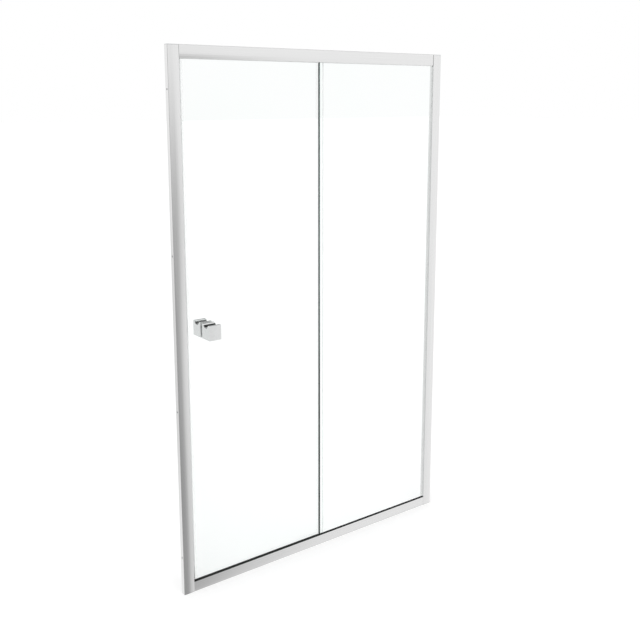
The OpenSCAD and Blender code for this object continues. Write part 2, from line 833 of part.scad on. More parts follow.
// Knob block: a bevelled cube with a half-round finger groove across its top
module knob_block(side) {
    y_near = y_slide_rear + knob_washer_t + knob_neck;
    y_far = y_near + knob_d;
    b = knob_bevel;
    color(chrome)
    mirror([0, side < 0 ? 1 : 0, 0])
    difference() {
        union() {
            along_y(y_near, y_far)
                translate([knob_x - knob_w / 2, knob_z - knob_h / 2])
                    polygon([[b, 0], [knob_w - b, 0], [knob_w, b], [knob_w, knob_h - b],
                        [knob_w - b, knob_h], [b, knob_h], [0, knob_h - b], [0, b]]);
            rod_y(knob_x, knob_z, knob_neck_r, y_slide_rear + knob_washer_t, y_near + cut);
        }
        rod_x((y_near + y_far) / 2, knob_z + knob_h / 2 - groove_depth + groove_r, groove_r,
            knob_x - knob_w, knob_x + knob_w);
        rod_y(knob_x, knob_z, knob_screw_r + knob_play, 0, y_near + knob_screw_in + cut);
        translate([knob_x, y_near + knob_screw_in / 2, knob_z - knob_h])
            cylinder(r = grub_r + grub_play, h = knob_h);
    }
}

module knob_outer() { knob_block(-1); }
module knob_inner() { knob_block(1); }

module knob_washers() {
    color(rubber)
    for (y = [y_slide_rear, y_slide_front - knob_washer_t])
        ring_y(knob_x, knob_z, knob_screw_r + bush_play, knob_neck_r, y, y + knob_washer_t);
}

module knob_bush() {
    color(nylon)
    ring_y(knob_x, knob_z, knob_screw_r + knob_play, knob_hole_r - bush_play, y_slide_front,
        y_slide_rear);
}

module knob_screw() {
    reach = y_slide_rear + knob_washer_t + knob_neck + knob_screw_in;
    color(steel)
    rod_y(knob_x, knob_z, knob_screw_r, -reach, reach);
}

module knob_grub_screws() {
    y_grub = y_slide_rear + knob_washer_t + knob_neck + knob_screw_in / 2;
    color(steel)
    for (y = [-y_grub, y_grub])
        translate([knob_x, y, knob_z - knob_screw_r - grub_l - screw_play])
            cylinder(r = grub_r, h = grub_l);
}

// Stud through the glass, its thin flange in front and its bearing seat behind
module hanger_studs() {
    color(steel)
    for (x = x_rollers)
        difference() {
            union() {
                rod_y(x, z_axle, stud_r, y_slide_front - stud_washer_t - stud_flange_t, y_wheel_end);
                rod_y(x, z_axle, stud_flange_r, y_slide_front - stud_washer_t - stud_flange_t,
                    y_slide_front - stud_washer_t);
            }
            rod_y(x, z_axle, keeper_shank_r + bearing_play, y_collar, y_wheel_end + cut);
        }
}

// Nylon bush in each hanger hole, with a flange under the stud's flange
module hanger_bushes() {
    color(nylon)
    for (x = x_rollers)
        difference() {
            union() {
                rod_y(x, z_axle, stud_hole_r - bush_play, y_slide_front - stud_washer_t, y_slide_rear);
                rod_y(x, z_axle, stud_flange_r, y_slide_front - stud_washer_t, y_slide_front);
            }
            rod_y(x, z_axle, stud_r + bush_play / 2, y_slide_front - cut, y_slide_rear + cut);
        }
}

module hanger_washers() {
    color(nylon)
    for (x = x_rollers)
        ring_y(x, z_axle, stud_r + bush_play / 2, stud_flange_r, y_slide_rear, y_collar);
}

module hanger_collars() {
    color(steel)
    for (x = x_rollers)
        difference() {
            union() {
                translate([x, y_collar + collar_t, z_axle])
                    rotate([90, 0, 0])
                        cylinder(r = collar_r, h = collar_t, $fn = 6);
                rod_y(x, z_axle, inner_ring_r, y_collar + collar_t - cut, y_wheel);
            }
            rod_y(x, z_axle, stud_r + bush_play / 2, y_collar - cut, y_wheel + cut);
        }
}

module bearing_inner_rings() {
    color(steel)
    for (x = x_rollers)
        ring_y(x, z_axle, stud_r + bearing_play, inner_ring_r, y_wheel, y_wheel_end);
}

module bearing_balls(x) {
    color(steel)
    for (i = [0 : ball_count - 1])
        translate([x + ball_pitch_r * cos(360 * i / ball_count), y_wheel_mid,
                z_axle + ball_pitch_r * sin(360 * i / ball_count)])
            sphere(r = ball_r, $fn = 24);
}

module bearing_balls_left() { bearing_balls(x_rollers[0]); }
module bearing_balls_right() { bearing_balls(x_rollers[1]); }

module bearing_outer(x) {
    color(steel)
    ring_y(x, z_axle, outer_ring_in, bearing_r, y_wheel, y_wheel_end);
}

module bearing_outer_left() { bearing_outer(x_rollers[0]); }
module bearing_outer_right() { bearing_outer(x_rollers[1]); }

// Grooved wheel, drawn as a half section and spun
module grooved_wheel(x, z, y0, y1, r_bore, r_run, r_rim, groove) {
    flange_w = (y1 - y0 - groove) / 2;
    translate([x, y1, z])
        rotate([90, 0, 0])
            rotate_extrude()
                polygon([[r_bore, 0], [r_rim, 0], [r_rim, flange_w], [r_run, flange_w],
                    [r_run, flange_w + groove], [r_rim, flange_w + groove], [r_rim, y1 - y0],
                    [r_bore, y1 - y0]]);
}

module roller_wheel(x) {
    color(nylon)
    grooved_wheel(x, z_axle, y_wheel, y_wheel_end, bearing_r, roller_r, roller_rim_r, roller_groove);
}

module roller_wheel_left() { roller_wheel(x_rollers[0]); }
module roller_wheel_right() { roller_wheel(x_rollers[1]); }

// Screws in the studs' ends, which keep the bearings on
module roller_keeper_screws() {
    color(steel)
    for (x = x_rollers) {
        rod_y(x, z_axle, keeper_r, y_keeper, y_keeper + keeper_h);
        rod_y(x, z_axle, keeper_shank_r, y_collar + keeper_tip_gap, y_keeper + keeper_h);
    }
}

// Where the guide screws stand, either side of a guide's middle
function guide_screw_x(x, dx) = x + dx * (housing_half_w - guide_screw_in);

module guide_screw_holes(x, y0, y1) {
    for (dx = [-1, 1])
        rod_y(guide_screw_x(x, dx), z_guide_screw, guide_screw_r + screw_play, y0, y1);
}

// Housing with a T-shaped slot that its slider runs in
module guide_housing(x) {
    color(rubber)
    difference() {
        box3([x - housing_half_w, y_plate, housing_z], [x + housing_half_w, y_housing, z_bridge + bridge_t]);
        translate([0, 0, housing_z - cut])
            linear_extrude(z_bridge - housing_z + cut) {
                box2(x - slider_back_half_w - slider_play, y_slot,
                    x + slider_back_half_w + slider_play, y_slot + slot_depth + slider_play);
                box2(x - slider_neck_half_w - slider_play, y_slot,
                    x + slider_neck_half_w + slider_play, y_housing + cut);
            }
        guide_screw_holes(x, y_plate - cut, y_housing + cut);
    }
}

module guide_housing_left() { guide_housing(x_guides[0]); }
module guide_housing_right() { guide_housing(x_guides[1]); }

module guide_screws() {
    y_head = y_housing + guide_screw_head_h;
    color(steel)
    for (x = x_guides, dx = [-1, 1]) {
        rod_y(guide_screw_x(x, dx), z_guide_screw, guide_screw_r,
            y_slide_rear + guide_screw_tip_gap, y_head);
        rod_y(guide_screw_x(x, dx), z_guide_screw, guide_screw_head_r, y_housing, y_head);
    }
}

// Sprung block that carries a guide wheel's axle
module guide_slider(x) {
    color(nylon)
    difference() {
        translate([0, 0, z_slider])
            linear_extrude(slider_h) {
                box2(x - slider_back_half_w, y_slot + slider_play,
                    x + slider_back_half_w, y_slot + slot_depth);
                box2(x - slider_neck_half_w, y_slot + slider_play,
                    x + slider_neck_half_w, y_housing + slider_proud);
            }
        rod_y(x, z_wheel, guide_axle_r + bearing_play / 2, y_slot + guide_axle_in, y_housing + cut);
    }
}

module guide_slider_left() { guide_slider(x_guides[0]); }
module guide_slider_right() { guide_slider(x_guides[1]); }

module guide_axle(x) {
    y_head = y_guide_end + axle_head_gap;
    color(steel) {
        rod_y(x, z_wheel, guide_axle_r, y_slot + guide_axle_in, y_head + axle_head_t);
        rod_y(x, z_wheel, axle_head_r, y_head, y_head + axle_head_t);
    }
}

module guide_axle_left() { guide_axle(x_guides[0]); }
module guide_axle_right() { guide_axle(x_guides[1]); }

module guide_wheel(x) {
    color(nylon)
    grooved_wheel(x, z_wheel, y_guide, y_guide_end, guide_axle_r + guide_play, guide_r,
        guide_r + guide_flange, rib_w + 2 * track_play);
}

module guide_wheel_left() { guide_wheel(x_guides[0]); }
module guide_wheel_right() { guide_wheel(x_guides[1]); }

// Compression spring between a slider's top and its housing's bridge
module guide_spring(x) {
    rings = 12;
    sides = 6;
    steps = spring_turns * rings;
    z0 = z_slider_top + spring_wire_r;
    z1 = z_bridge - spring_wire_r;
    points = [for (i = [0 : steps], k = [0 : sides - 1])
        let (a = 360 * i / rings, b = 360 * k / sides, r = spring_r + spring_wire_r * cos(b))
        [r * cos(a), r * sin(a), z0 + (z1 - z0) * i / steps + spring_wire_r * sin(b)]];
    walls = [for (i = [0 : steps - 1], k = [0 : sides - 1])
        let (p = i * sides, q = (k + 1) % sides)
        for (tri = [[p + k, p + q, p + sides + q], [p + k, p + sides + q, p + sides + k]]) tri];
    ends = [[for (k = [0 : sides - 1]) sides - 1 - k], [for (k = [0 : sides - 1]) steps * sides + k]];
    color(steel)
    translate([x, y_slot + housing_d / 2, 0])
        polyhedron(points, concat(walls, ends));
}

module guide_spring_left() { guide_spring(x_guides[0]); }
module guide_spring_right() { guide_spring(x_guides[1]); }

wall_channel_left();
wall_channel_right();
jamb_left();
jamb_right();
jamb_cap_left();
jamb_cap_right();
jamb_screws_left();
jamb_screws_right();
screw_caps_left();
screw_caps_right();
corner_screws();
top_rail();
bottom_rail();
fixed_glass();
jamb_gasket();
top_gasket();
sill_gasket();
setting_blocks();
threshold_gasket();
top_infill();
overlap_seal();
strike_seal();
door_stop_open();
door_stop_closed();
sliding_glass();
leading_edge_seal();
bottom_edge_channel();
knob_outer();
knob_inner();
knob_washers();
knob_bush();
knob_screw();
knob_grub_screws();
hanger_studs();
hanger_bushes();
hanger_washers();
hanger_collars();
bearing_inner_rings();
roller_keeper_screws();
guide_housing_left();
guide_housing_right();
guide_screws();
guide_spring_left();
guide_spring_right();
roller_wheel_left();
roller_wheel_right();
bearing_outer_left();
bearing_outer_right();
bearing_balls_left();
bearing_balls_right();
guide_slider_left();
guide_slider_right();
guide_axle_left();
guide_axle_right();
guide_wheel_left();
guide_wheel_right();
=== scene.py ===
"""Looks of a framed sliding shower door: bright aluminium, clear glass and chrome cube knobs."""
import json
from math import cos, pi, radians, sin

import bmesh
import bpy
from mathutils import Matrix, Vector


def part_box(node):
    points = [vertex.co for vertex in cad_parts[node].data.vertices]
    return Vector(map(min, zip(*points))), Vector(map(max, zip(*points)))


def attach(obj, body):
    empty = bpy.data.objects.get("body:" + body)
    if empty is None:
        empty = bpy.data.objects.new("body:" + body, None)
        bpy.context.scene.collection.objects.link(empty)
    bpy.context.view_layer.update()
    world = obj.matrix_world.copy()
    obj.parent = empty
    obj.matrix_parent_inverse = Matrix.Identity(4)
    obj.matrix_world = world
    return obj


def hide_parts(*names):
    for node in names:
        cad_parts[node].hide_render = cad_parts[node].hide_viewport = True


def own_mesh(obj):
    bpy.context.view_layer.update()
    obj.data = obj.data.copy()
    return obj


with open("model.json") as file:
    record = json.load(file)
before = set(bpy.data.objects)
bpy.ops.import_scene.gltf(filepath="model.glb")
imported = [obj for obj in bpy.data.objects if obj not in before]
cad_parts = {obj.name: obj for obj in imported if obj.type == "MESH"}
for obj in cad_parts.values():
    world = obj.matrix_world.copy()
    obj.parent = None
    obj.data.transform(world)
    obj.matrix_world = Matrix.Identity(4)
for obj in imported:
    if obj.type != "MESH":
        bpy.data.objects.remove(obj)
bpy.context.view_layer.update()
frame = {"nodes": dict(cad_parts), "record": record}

MM = 0.001
# Degrees between faces: past CREASE an edge is drawn sharp, past CORNER it is rounded
CREASE = 30
CORNER = 40
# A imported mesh's points less than MERGE mm apart are joined, and so are its faces that turn by less
# than FLAT degrees. Faces thinner than SLIVER mm go, and within TOUCH mm two places count as one
MERGE = 0.002
FLAT = 0.4
SLIVER = 0.001
TOUCH = 0.01
# A face looks along an axis where its normal has at least this much of it
SQUARE = 0.99
# The part of a noise's range that nearly all of it lies in
NOISE_LOW = 0.3
NOISE_HIGH = 0.7


def linear(hex_colour):
    """An sRGB hex colour as the linear colour that a shader takes."""
    channels = [int(hex_colour[i:i + 2], 16) / 255 for i in (1, 3, 5)]
    light = [c / 12.92 if c <= 0.04045 else ((c + 0.055) / 1.055) ** 2.4 for c in channels]
    return (*light, 1.0)


def add(tree, kind, feeds=None, **settings):
    """Adds a node with its settings. feeds gives an input its value or the output that drives it."""
    node = tree.nodes.new(kind)
    for name, value in settings.items():
        setattr(node, name, value)
    for name, value in (feeds or {}).items():
        socket = node.inputs[name]
        if isinstance(value, bpy.types.NodeSocket):
            tree.links.new(value, socket)
        else:
            socket.default_value = value
    return node


def blank_material(name):
    """A material with no nodes but its output."""
    material = bpy.data.materials.new(name)
    material.use_nodes = True
    tree = material.node_tree
    tree.nodes.clear()
    return material, tree, tree.nodes.new("ShaderNodeOutputMaterial")


def finish(name, pale, deep, grain, roughness, bump=0.0, **shader):
    """A surface whose colour and gloss drift between pale and deep over its grain.

    grain is a size in mm along X, Y and Z, roughness is (smoothest, roughest), and bump is the
    height of the grain in mm. shader holds what else the shader's own sockets are set to.
    """
    material, tree, output = blank_material(name)
    place = add(tree, "ShaderNodeTexCoord")
    scale = add(tree, "ShaderNodeMapping", {"Vector": place.outputs["Object"],
                                            "Scale": tuple(1 / (MM * size) for size in grain)})
    noise = add(tree, "ShaderNodeTexNoise", {"Vector": scale.outputs["Vector"], "Scale": 1.0,
                                             "Detail": 3.0, "Roughness": 0.55})
    tone = add(tree, "ShaderNodeValToRGB", {"Fac": noise.outputs["Fac"]})
    for stop, position, colour in zip(tone.color_ramp.elements, (NOISE_LOW, NOISE_HIGH),
                                      (deep, pale)):
        stop.position = position
        stop.color = linear(colour)
    gloss = add(tree, "ShaderNodeMapRange", {"Value": noise.outputs["Fac"], "From Min": NOISE_LOW,
                                             "From Max": NOISE_HIGH, "To Min": roughness[0],
                                             "To Max": roughness[1]})
    feeds = {"Base Color": tone.outputs["Color"], "Roughness": gloss.outputs["Result"]}
    if bump:
        height = add(tree, "ShaderNodeBump", {"Height": noise.outputs["Fac"], "Strength": 1.0,
                                              "Distance": bump * MM})
        feeds["Normal"] = height.outputs["Normal"]
    skin = add(tree, "ShaderNodeBsdfPrincipled", {**feeds, **shader})
    tree.links.new(skin.outputs["BSDF"], output.inputs["Surface"])
    return material


# Bright anodised aluminium extrusion: a mirror softened by the oxide, with faint die lines along
# its length. Real die lines are about 0.2 mm apart; they are drawn 1.5 mm apart so that they show.
aluminium_upright = finish("bright_anodised_upright", "#F0F0F0", "#EAEAEA", (1.5, 1.5, 420),
                           (0.1, 0.15), 0.0003, Metallic=1.0)
aluminium_level = finish("bright_anodised_level", "#F0F0F0", "#EAEAEA", (420, 1.5, 1.5),
                         (0.1, 0.15), 0.0003, Metallic=1.0)
# Satin anodised aluminium: etched before the oxide, so it is greyer and shows no mirror image
satin_level = finish("satin_anodised_level", "#DCDDDE", "#D2D3D5", (300, 1.2, 1.2),
                     (0.34, 0.42), 0.0006, Metallic=1.0)
# Silver painted ABS, moulded: fine metal flake under a semi-gloss skin
silver_abs = finish("silver_painted_abs", "#CDD0D2", "#C2C5C8", (0.8, 0.8, 0.8), (0.3, 0.38),
                    0.002, Metallic=0.75)
# Stainless steel, turned or cold headed: darker than the frame, with tool marks 0.4 mm apart
stainless = finish("turned_stainless_steel", "#B9BABD", "#A2A4A8", (0.4, 0.4, 0.4), (0.24, 0.34),
                   0.0015, Metallic=1.0)
# Chrome plate on polished zinc: a bright, faintly cool mirror with only the slightest haze
chrome = finish("chrome_plate", "#FBFCFC", "#F6F7F7", (9, 9, 9), (0.045, 0.075), Metallic=1.0)
# The same plate on the ground, unpolished face next to the glass: it scatters what it mirrors
satin_chrome = finish("chrome_plate_on_ground_face", "#F4F4F4", "#EEEEEE", (3, 3, 3), (0.5, 0.6),
                      Metallic=1.0)
# EPDM rubber, extruded: near black and matt, with a chalky bloom along the strip that takes most
# of the mirror off it
rubber = finish("black_epdm_rubber", "#1A1B1A", "#101110", (40, 1, 1), (0.5, 0.62), 0.006,
                **{"Specular IOR Level": 0.28})
# Soft PVC, extruded grey: slightly waxy sheen
grey_vinyl = finish("grey_soft_pvc", "#646A69", "#5A605F", (1.5, 1.5, 60), (0.38, 0.48), 0.004)
# Clear PVC seal: thin walls that nearly vanish, with a faint milky cast and a waxy sheen
clear_vinyl = finish("clear_soft_pvc", "#F4F7F6", "#ECF0EF", (2, 2, 80), (0.2, 0.24), IOR=1.53,
                     Alpha=0.05)
# Milky PVC glazing gasket: thicker, so that nothing shows through, with the same waxy sheen
milky_vinyl = finish("milky_soft_pvc", "#E6E8E7", "#DCDFDE", (2, 2, 80), (0.3, 0.4), IOR=1.53)
# Natural nylon, moulded: ivory white and a little translucent
white_nylon = finish("natural_nylon", "#E9E8E2", "#E0DFD8", (3, 3, 3), (0.36, 0.46), 0.003,
                     IOR=1.53, **{"Subsurface Weight": 0.12, "Subsurface Scale": 0.002})
# Glass-filled nylon, moulded in grey: dull, with a fine speckle of fibre ends
grey_nylon = finish("grey_filled_nylon", "#5C5E60", "#4E5052", (0.7, 0.7, 0.7), (0.45, 0.58),
                    0.008, IOR=1.53)
# Clear toughened float glass: faces with no colour of their own, faint roller waves 300 mm apart
glass_face = finish("clear_float_glass", "#FEFFFF", "#FCFFFE", (300, 300, 300), (0.0, 0.002),
                    IOR=1.52, **{"Transmission Weight": 1.0})
# Its ground and polished edge, which shows the green of the glass and scatters a little
glass_edge = finish("polished_glass_edge", "#84A79D", "#799D92", (60, 6, 60), (0.1, 0.18),
                    0.002, IOR=1.52, **{"Transmission Weight": 1.0})
# The sliding pane's edge is ground but not polished, since seals cover it: a frosted white
ground_edge = finish("ground_glass_edge", "#FBFEFD", "#F6FAF8", (4, 4, 4), (0.5, 0.6), IOR=1.52,
                     **{"Transmission Weight": 0.7})

# The finish of each material slot of the record, and of the nodes that differ from their slot's
SLOT_FINISH = {
    "polished_aluminium": aluminium_upright, "silver_plastic": silver_abs,
    "stainless_steel": stainless, "clear_glass": glass_face, "black_rubber": rubber,
    "grey_vinyl": grey_vinyl, "white_vinyl": clear_vinyl, "chrome_plate": chrome,
    "white_nylon": white_nylon, "grey_nylon": grey_nylon,
}
NODE_FINISH = {
    "top_rail": aluminium_level, "bottom_rail": aluminium_level, "top_infill": aluminium_level,
    "wall_channel_left": aluminium_upright, "wall_channel_right": aluminium_upright,
    "bottom_edge_channel": satin_level, "jamb_gasket": milky_vinyl,
}

node_slot = {part["node"]: part["material_slot"] for part in frame["record"]["subparts"]}
node_body = {node: body for body, nodes in frame["record"]["behaviour"]["bodies"].items()
             for node in nodes}


def node_finish(node):
    """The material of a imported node."""
    return NODE_FINISH[node] if node in NODE_FINISH else SLOT_FINISH[node_slot[node]]


def dress(name, node, shape, *materials):
    """Shows shape as the piece called name in place of node, on its body, with the materials given.
    """
    mesh = bpy.data.meshes.new(name)
    shape.to_mesh(mesh)
    shape.free()
    mesh.shade_smooth()
    mesh.set_sharp_from_angle(angle=radians(CREASE))
    piece = bpy.data.objects.new(name, mesh)
    flat_faces_stay_flat = piece.modifiers.new("flat_faces_stay_flat", "WEIGHTED_NORMAL")
    flat_faces_stay_flat.keep_sharp = True
    bpy.context.scene.collection.objects.link(piece)
    for material in materials:
        mesh.materials.append(material)
    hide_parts(node)
    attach(piece, node_body[node])
    return piece


def merged_copy(node):
    """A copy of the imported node's mesh with its loose triangles joined into flat faces."""
    shape = bmesh.new()
    shape.from_mesh(frame["nodes"][node].data)
    bmesh.ops.remove_doubles(shape, verts=shape.verts, dist=MERGE * MM)
    bmesh.ops.dissolve_limit(shape, angle_limit=radians(FLAT), verts=shape.verts,
                             edges=shape.edges, use_dissolve_boundaries=False)
    return shape


def corners(shape):
    """The edges where two flat faces meet at a real corner, not the facets of a curve."""
    return [edge for edge in shape.edges
            if edge.is_manifold and edge.calc_face_angle(0.0) > radians(CORNER)]


def round_edges(shape, edges, size, turns=2):
    """Rounds the edges by size, in mm, with turns faces across each."""
    bmesh.ops.bevel(shape, geom=edges, offset=size * MM, offset_type="OFFSET", affect="EDGES",
                    segments=turns, profile=0.5, material=-1, clamp_overlap=True)


def eased_piece(name, node, ease):
    """Stands for a node, with its sharp edges rounded by ease, in mm, as a real piece's are."""
    shape = merged_copy(node)
    if ease:
        round_edges(shape, corners(shape), ease)
    bmesh.ops.dissolve_degenerate(shape, dist=SLIVER * MM, edges=shape.edges)
    return dress(name, node, shape, node_finish(node))


def head_rail(name, node, ease, mitre, joint):
    """The head rail, whose sawn ends stand joint off the jambs and are rounded by mitre, in mm."""
    # Just less than the rail's wall, in mm, so that only the edges of its front face are taken
    front = 1.4
    low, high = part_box(node)
    shape = merged_copy(node)
    for vert in shape.verts:
        if vert.co.x - low.x < TOUCH * MM:
            vert.co.x += joint * MM
        elif high.x - vert.co.x < TOUCH * MM:
            vert.co.x -= joint * MM
    sawn = (joint + TOUCH) * MM
    ends = [edge for edge in shape.edges
            if all(min(v.co.x - low.x, high.x - v.co.x) < sawn and v.co.y < low.y + front * MM
                   for v in edge.verts)]
    round_edges(shape, ends, mitre, turns=3)
    round_edges(shape, corners(shape), ease)
    return dress(name, node, shape, node_finish(node))


def knob_block(name, node, ease):
    """A knob's block, eased like the rest, whose face next to the glass is left unpolished."""
    low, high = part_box(node)
    shape = merged_copy(node)
    round_edges(shape, corners(shape), ease, turns=4)
    middle = (low.y + high.y) / 2
    for face in shape.faces:
        toward_glass = face.normal.y * middle < 0 and abs(face.normal.y) > SQUARE
        face.material_index = 1 if toward_glass else 0
    return dress(name, node, shape, chrome, satin_chrome)


def pane(name, node, arris, edge_finish):
    """A glass pane with its edges ground to a chamfer of arris mm.

    Clear glass takes hardly any light off the floor behind it, so it casts no shadow.
    """
    low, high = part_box(node)
    shape = bmesh.new()
    bmesh.ops.create_cube(shape, size=1.0)
    bmesh.ops.scale(shape, vec=high - low, verts=shape.verts)
    bmesh.ops.translate(shape, vec=(low + high) / 2, verts=shape.verts)
    bmesh.ops.bevel(shape, geom=shape.edges[:], offset=arris * MM, offset_type="OFFSET",
                    affect="EDGES", segments=1, profile=0.5, material=-1)
    for face in shape.faces:
        face.material_index = 0 if abs(face.normal.y) > SQUARE else 1
    glass = dress(name, node, shape, glass_face, edge_finish)
    glass.visible_shadow = False
    return glass


def glazing_strip(name, node, ease, lip):
    """The jamb's gasket, whose front lip tapers out over the glass by lip, in mm."""
    low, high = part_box(node)
    glass_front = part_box("fixed_glass")[0].y
    shape = merged_copy(node)
    for vert in shape.verts:
        if vert.co.x < low.x + TOUCH * MM and vert.co.y < glass_front + TOUCH * MM:
            on_glass = vert.co.y > low.y + TOUCH * MM
            vert.co.x -= (lip if on_glass else lip / 2) * MM
    round_edges(shape, corners(shape), ease)
    return dress(name, node, shape, node_finish(node))


def lift_spring(name, node, wire_radius, turns):
    """A guide's coil spring, its wire's radius in mm, wound up the height of the node's box."""
    steps_a_turn = 24
    wire_sides = 10
    low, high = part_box(node)
    wire = wire_radius * MM
    middle = (low + high) / 2
    rise = (high.z - low.z - 2 * wire) / (turns * steps_a_turn)
    shape = bmesh.new()
    ring = bmesh.ops.create_circle(shape, cap_ends=True, segments=wire_sides, radius=wire,
                                   matrix=Matrix.Rotation(radians(90), 4, "X"))
    bmesh.ops.translate(shape, vec=(high.x - wire, middle.y, low.z + wire), verts=ring["verts"])
    bmesh.ops.spin(shape, geom=shape.verts[:] + shape.edges[:] + shape.faces[:],
                   cent=(middle.x, middle.y, low.z), axis=(0, 0, 1), dvec=(0, 0, rise),
                   angle=2 * pi * turns, steps=turns * steps_a_turn, use_duplicate=False)
    bmesh.ops.recalc_face_normals(shape, faces=shape.faces)
    coil = dress(name, node, shape, node_finish(node))
    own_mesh(coil)
    return coil


# Each node that keeps its shape but has its edges eased: its piece's name, and the easing in mm
EASED = {
    "jamb_left": ("left_jamb_profile", 0.35),
    "jamb_right": ("right_jamb_profile", 0.35),
    "bottom_rail": ("sill_rail_profile", 0.35),
    "wall_channel_left": ("left_wall_profile", 0.2),
    "wall_channel_right": ("right_wall_profile", 0.2),
    "jamb_cap_left": ("left_jamb_cap", 0.4),
    "jamb_cap_right": ("right_jamb_cap", 0.4),
    "jamb_screws_left": ("left_jamb_screw_row", 0.2),
    "jamb_screws_right": ("right_jamb_screw_row", 0.2),
    "screw_caps_left": ("left_screw_covers", 0.5),
    "screw_caps_right": ("right_screw_covers", 0.5),
    "corner_screws": ("corner_screw_set", 0.2),
    "top_gasket": ("head_glazing_strip", 0.2),
    "sill_gasket": ("sill_glazing_strip", 0.4),
    "setting_blocks": ("glass_rests", 0.4),
    "threshold_gasket": ("threshold_lip", 0.5),
    "top_infill": ("head_infill", 0.2),
    "overlap_seal": ("overlap_fin", 0.3),
    "strike_seal": ("strike_fin", 0.3),
    "leading_edge_seal": ("closing_edge_strip", 0.2),
    "door_stop_open": ("open_buffer", 0.5),
    "door_stop_closed": ("closed_buffer", 0.5),
    "bottom_edge_channel": ("pane_shoe", 0.3),
    "knob_washers": ("knob_washer_rings", 0.3),
    "knob_bush": ("knob_hole_bush", 0.2),
    "knob_screw": ("knob_through_screw", 0.3),
    "knob_grub_screws": ("knob_set_screws", 0.2),
    "hanger_studs": ("hanger_stud_pair", 0.2),
    "hanger_bushes": ("hanger_bush_pair", 0.2),
    "hanger_washers": ("hanger_washer_pair", 0.2),
    "hanger_collars": ("hanger_collar_pair", 0.3),
    "bearing_inner_rings": ("inner_races", 0.15),
    "bearing_outer_left": ("left_outer_race", 0.15),
    "bearing_outer_right": ("right_outer_race", 0.15),
    "bearing_balls_left": ("left_ball_set", 0.0),
    "bearing_balls_right": ("right_ball_set", 0.0),
    "roller_keeper_screws": ("keeper_screw_pair", 0.3),
    "roller_wheel_left": ("left_top_wheel", 0.2),
    "roller_wheel_right": ("right_top_wheel", 0.2),
    "guide_housing_left": ("left_guide_block", 0.4),
    "guide_housing_right": ("right_guide_block", 0.4),
    "guide_screws": ("guide_screw_set", 0.3),
    "guide_slider_left": ("left_slide_block", 0.3),
    "guide_slider_right": ("right_slide_block", 0.3),
    "guide_axle_left": ("left_guide_pin", 0.2),
    "guide_axle_right": ("right_guide_pin", 0.2),
    "guide_wheel_left": ("left_guide_wheel", 0.3),
    "guide_wheel_right": ("right_guide_wheel", 0.3),
}

pane("fixed_pane", "fixed_glass", 0.8, glass_edge)
pane("sliding_pane", "sliding_glass", 0.8, ground_edge)
knob_block("outer_knob_block", "knob_outer", 0.9)
knob_block("inner_knob_block", "knob_inner", 0.9)
head_rail("head_rail_profile", "top_rail", ease=0.35, mitre=0.9, joint=0.8)
glazing_strip("jamb_glazing_strip", "jamb_gasket", ease=0.2, lip=3)
for node, (name, ease) in EASED.items():
    eased_piece(name, node, ease)
for side in ("left", "right"):
    lift_spring(f"{side}_lift_spring", f"guide_spring_{side}",
                wire_radius=0.25, turns=4)


# The camera, as fitted to the door's four corners and the knob. Its lens is given by the pixels
# in its focal length, and its shift by the row of the photograph that its axis meets
PHOTO_SIDE = 640
LENS_PIXELS = 868.7
AXIS_ROW = 265.0
SENSOR = 36.0
YAW = radians(37.008)
PITCH = radians(10.842)
EYE = Vector((-1.9058, -2.5457, 1.7304))
# Both in metres: the floor reaches this far from its middle, and the camera sees all of it
FLOOR_REACH = 60
SIGHT_REACH = 200

sight = Vector((sin(YAW) * cos(PITCH), cos(YAW) * cos(PITCH), -sin(PITCH)))
lens = bpy.data.cameras.new("camera")
lens.sensor_width = SENSOR
lens.sensor_fit = "HORIZONTAL"
lens.lens = LENS_PIXELS * SENSOR / PHOTO_SIDE
lens.shift_y = (AXIS_ROW - PHOTO_SIDE / 2) / PHOTO_SIDE
lens.clip_end = SIGHT_REACH
camera = bpy.data.objects.new("camera", lens)
camera.location = EYE
camera.rotation_euler = sight.to_track_quat("-Z", "Y").to_euler()
bpy.context.scene.collection.objects.link(camera)
bpy.context.scene.camera = camera


# Dim cloths in the white room, which only the metal mirrors. Each has its bearing from straight in
# front toward the right and its height above the horizon, in degrees, and then pairs of a distance
# from its middle, in degrees, and a shade
CLOTHS = (
    ((4, -29), ((17, "#A0A0A0"), (21, "#B4B4B4"), (25, "#DDDDDD"), (30, "#F2F2F2"),
                (46, "#FAFAFA"))),
    ((24, -8.5), ((1, "#CCCCCC"), (12.6, "#FFFFFF"))),
    ((-60, -10), ((25, "#8C8C8C"), (50, "#FFFFFF"))),
    ((-136, -15), ((10, "#F0F0F0"), (24, "#FFFFFF"))),
    ((-151, -17), ((4, "#F2F2F2"), (12, "#FFFFFF"))),
    ((62, 58), ((28, "#3C3C3C"), (44, "#FFFFFF"))),
    ((151, 17), ((8, "#A8A8A8"), (20, "#FFFFFF"))),
    ((95, -18), ((10, "#B4B4B4"), (36, "#FFFFFF"))),
    ((163, -18), ((12, "#A6A6A6"), (38, "#FFFFFF"))),
    ((180, 58), ((20, "#CACACA"), (40, "#FFFFFF"))),
)
# The end of every cloth's ramp, in degrees
WIDEST = 60
# Where a Mix node has the two colours that it mixes and its result
MIX_FIRST, MIX_SECOND, MIX_RESULT = 6, 7, 2
# The room's light on a surface, beside a strength of 1 in plain view, and the lamp's strength,
# its width in degrees and the way that it shines
ROOM_STRENGTH = 0.78
LAMP_STRENGTH = 0.75
LAMP_WIDTH = 50
LAMP_AIM = (0.35, 0.45, -1)
# The floor's glow in plain view, which takes it to white but for the door's shadow
FLOOR_GLOW = 0.2


def heading(bearing, height):
    """The direction that lies at this bearing and height, in degrees."""
    return Vector((sin(radians(bearing)) * cos(radians(height)),
                   -cos(radians(bearing)) * cos(radians(height)), sin(radians(height))))


